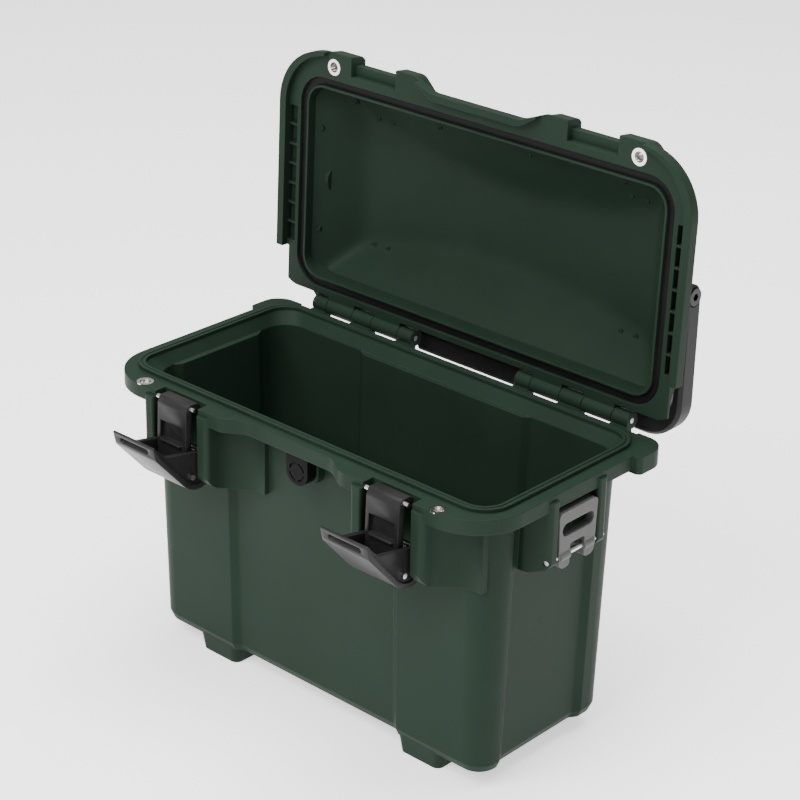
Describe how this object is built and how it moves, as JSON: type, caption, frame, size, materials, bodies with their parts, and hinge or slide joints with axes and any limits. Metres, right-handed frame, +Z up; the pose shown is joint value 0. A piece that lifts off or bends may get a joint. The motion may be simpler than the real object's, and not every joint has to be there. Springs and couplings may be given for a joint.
{
  "type": "protective hard case",
  "caption": "Upright moulded hard case with a hinged lid, seal, lever latches, bail handle, pressure valve and strap brackets, shown open.",
  "frame": {"origin": "centre of the open case's footprint box, on the floor under the feet", "axes": "+X along the case to its right end, +Y from the latches to the hinges, +Z up"},
  "size_m": [0.392, 0.3012, 0.4395],
  "materials": {
    "shell": "fine moulded texture",
    "gasket": "soft matt",
    "latch": "satin",
    "handle": "satin",
    "grip": "matt",
    "valve": "satin",
    "bracket": "satin",
    "steel": "bright",
    "nickel": "rolled and bright"
  },
  "bodies": {
    "tub": {"base_tub": "shell", "valve_body": "valve", "valve_seal": "gasket", "valve_nut": "valve", "tub_eyelets": "nickel", "hinge_pin_left": "steel", "hinge_pin_right": "steel", "lever_pin_left": "steel", "lever_pin_right": "steel", "strap_pin_left": "steel", "strap_pin_right": "steel"},
    "lid": {"lid_shell": "shell", "lid_gasket": "gasket", "lid_eyelets": "nickel", "handle_bolt_left": "steel", "handle_bolt_right": "steel", "handle_washer_left": "steel", "handle_washer_right": "steel"},
    "bail": {"handle_bail": "handle", "handle_grip": "grip"},
    "lever_left": {"latch_lever_left": "latch", "claw_pin_left": "steel"},
    "claw_left": {"latch_claw_left": "latch", "hook_pin_left": "steel", "claw_spring_left": "steel"},
    "bracket_left": {"strap_bracket_left": "bracket"},
    "lever_right": {"latch_lever_right": "latch", "claw_pin_right": "steel"},
    "claw_right": {"latch_claw_right": "latch", "hook_pin_right": "steel", "claw_spring_right": "steel"},
    "bracket_right": {"strap_bracket_right": "bracket"}
  },
  "joints": [
    {"name": "lid_hinge", "type": "hinge", "parent": "tub", "child": "lid", "pos_m": [0, 0.09263, 0.23439], "axis": [1, 0, 0], "range_deg": [0, 91.9]},
    {"name": "bail_swing", "type": "hinge", "parent": "lid", "child": "bail", "pos_m": [0, 0.11744, 0.33059], "axis": [1, 0, 0], "range_deg": [-1.9, 148]},
    {"name": "latch_left", "type": "hinge", "parent": "tub", "child": "lever_left", "pos_m": [-0.104, -0.08634, 0.184], "axis": [-1, 0, 0], "range_deg": [0, 42]},
    {"name": "claw_tilt_left", "type": "hinge", "parent": "lever_left", "child": "claw_left", "pos_m": [-0.104, -0.11183, 0.17719], "axis": [-1, 0, 0], "range_deg": [-44.01, 0]},
    {"name": "strap_flap_left", "type": "hinge", "parent": "tub", "child": "bracket_left", "pos_m": [-0.186, -0.00634, 0.181], "axis": [0, -1, 0], "range_deg": [0, 80]},
    {"name": "latch_right", "type": "hinge", "parent": "tub", "child": "lever_right", "pos_m": [0.104, -0.08634, 0.184], "axis": [-1, 0, 0], "range_deg": [0, 42]},
    {"name": "claw_tilt_right", "type": "hinge", "parent": "lever_right", "child": "claw_right", "pos_m": [0.104, -0.11183, 0.17719], "axis": [-1, 0, 0], "range_deg": [-44.01, 0]},
    {"name": "strap_flap_right", "type": "hinge", "parent": "tub", "child": "bracket_right", "pos_m": [0.186, -0.00634, 0.181], "axis": [0, 1, 0], "range_deg": [0, 80]}
  ],
  "couplings": [
    {"joint": "claw_tilt_left", "follows": "latch_left", "ratio": -1.0476},
    {"joint": "claw_tilt_right", "follows": "latch_right", "ratio": -1.0476}
  ]
}
